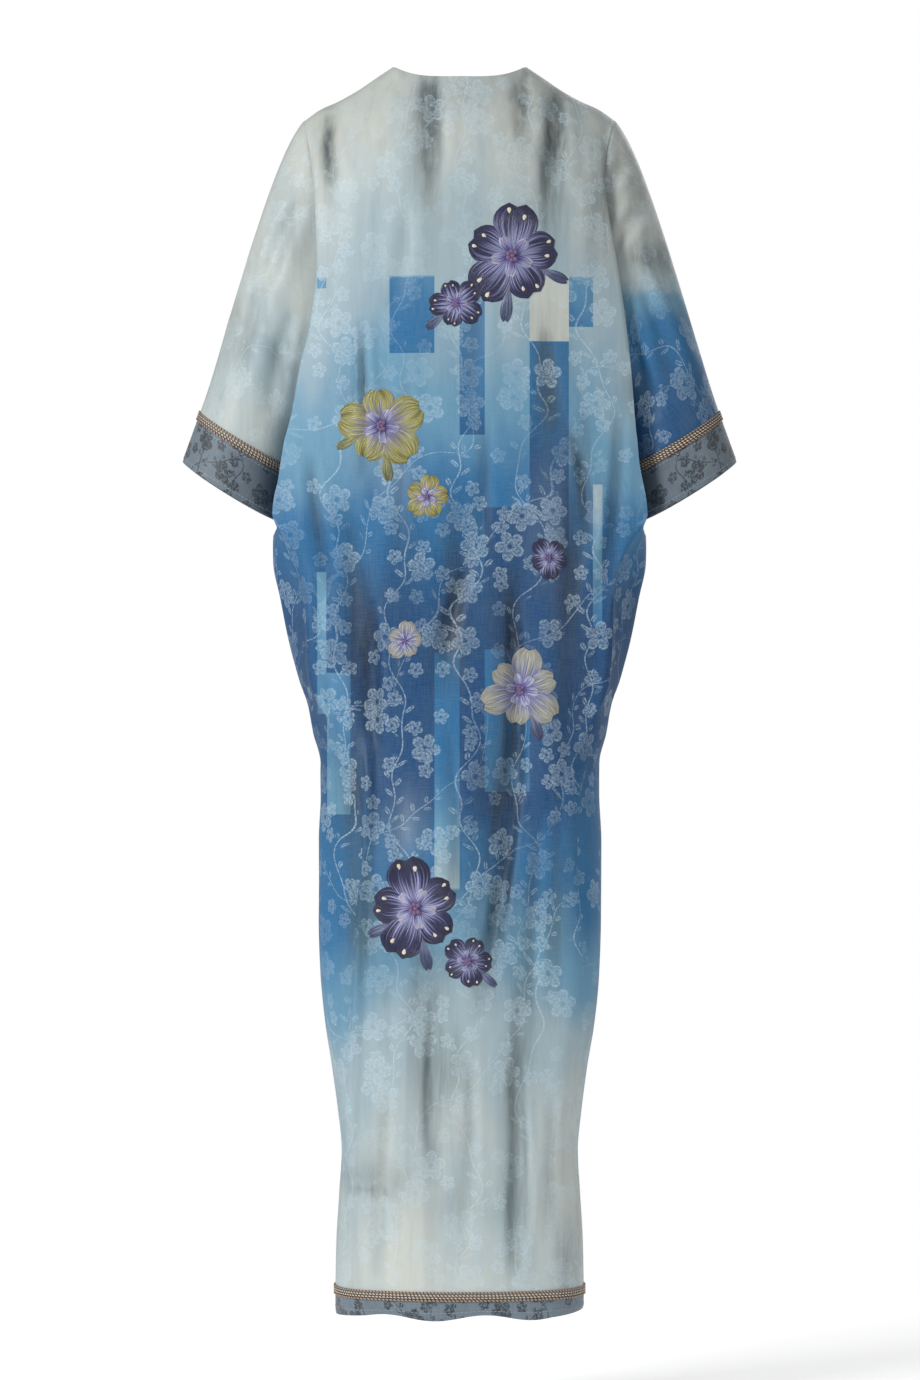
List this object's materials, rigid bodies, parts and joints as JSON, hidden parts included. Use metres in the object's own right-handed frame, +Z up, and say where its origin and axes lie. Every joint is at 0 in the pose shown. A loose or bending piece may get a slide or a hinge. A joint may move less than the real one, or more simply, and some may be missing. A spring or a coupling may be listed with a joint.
{
  "type": "silk kaftan",
  "caption": "Long silk kaftan in worn form, with a hollow body, wide elbow-length sleeves, contrast cuff and hem bands and rows of braid; open at neck, cuffs and hem.",
  "frame": {"origin": "between the two neck points, where the wearer's shoulders carry the dress", "axes": "+Z up, -Y towards the back of the dress, which is the pictured side, +X towards the wearer's right"},
  "size_m": [0.665, 0.2306, 1.4946],
  "materials": {
    "silk_body": "ombre blue silk jacquard with a soft sheen",
    "silk_sleeve": "pale grey-green silk with a soft sheen",
    "band_jacquard": "matt blue-grey jacquard with dark flowers",
    "braid": "rows of stitched rose-gold and black cord"
  },
  "bodies": {
    "root": {"back": "silk_body", "front": "silk_body", "sleeve_left": "silk_sleeve", "sleeve_right": "silk_sleeve", "cuff_left": "band_jacquard", "cuff_right": "band_jacquard", "hem_band": "band_jacquard", "cuff_braid_left": "braid", "cuff_braid_right": "braid", "hem_braid": "braid"}
  },
  "joints": []
}
